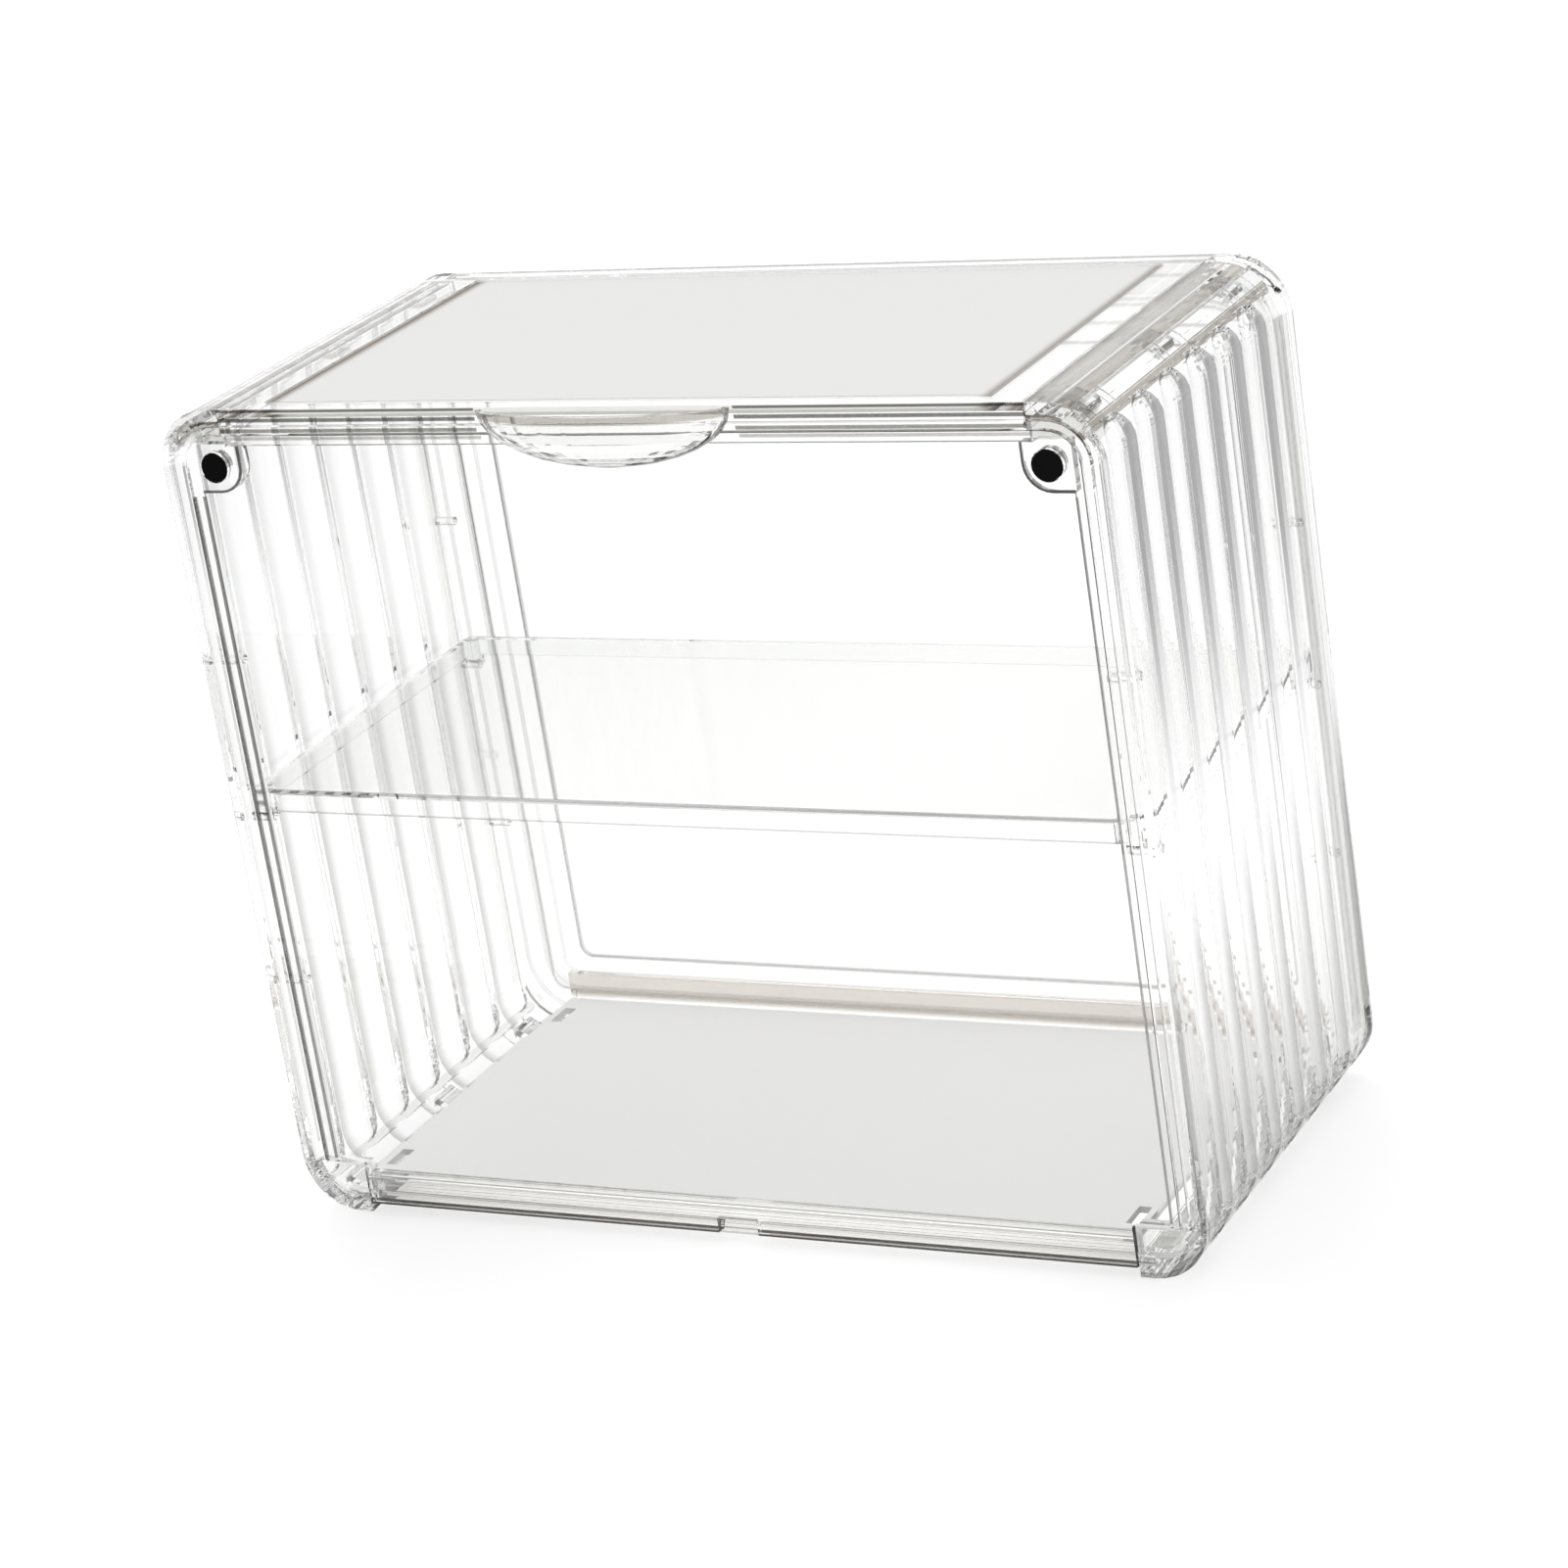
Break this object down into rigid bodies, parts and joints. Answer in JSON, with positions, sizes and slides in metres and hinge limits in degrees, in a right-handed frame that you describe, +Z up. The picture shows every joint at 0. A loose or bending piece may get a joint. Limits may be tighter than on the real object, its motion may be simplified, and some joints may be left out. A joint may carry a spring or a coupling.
{
  "type": "display case",
  "caption": "Clear plastic display case with fluted rounded sides, a lift-out shelf and a magnetic front door that hinges down from its bottom edge.",
  "frame": {"origin": "on the surface that the case stands on, in the middle of the box that holds the whole case with its pull", "axes": "+X to the right seen from the front, +Y from the front to the back, +Z up"},
  "size_m": [0.34, 0.1706, 0.293],
  "materials": {
    "clear_plastic": "clear, polished",
    "frosted_plastic": "clear rims round a lightly frosted field",
    "black_magnet": "satin black coating"
  },
  "bodies": {
    "case": {"side_panel_left": "clear_plastic", "side_panel_right": "clear_plastic", "top_panel": "frosted_plastic", "bottom_panel": "frosted_plastic", "back_panel": "clear_plastic", "case_magnet_left": "black_magnet", "case_magnet_right": "black_magnet"},
    "door": {"front_door": "clear_plastic", "door_magnet_left": "black_magnet", "door_magnet_right": "black_magnet"},
    "shelf": {"shelf": "clear_plastic"}
  },
  "joints": [
    {"name": "door_hinge", "type": "hinge", "parent": "case", "child": "door", "pos_m": [0, -0.0712, 0.005], "axis": [1, 0, 0], "range_deg": [0, 88]},
    {"name": "shelf_lift", "type": "slide", "parent": "case", "child": "shelf", "axis": [0, 0, 1], "range_m": [0, 0.042]}
  ]
}
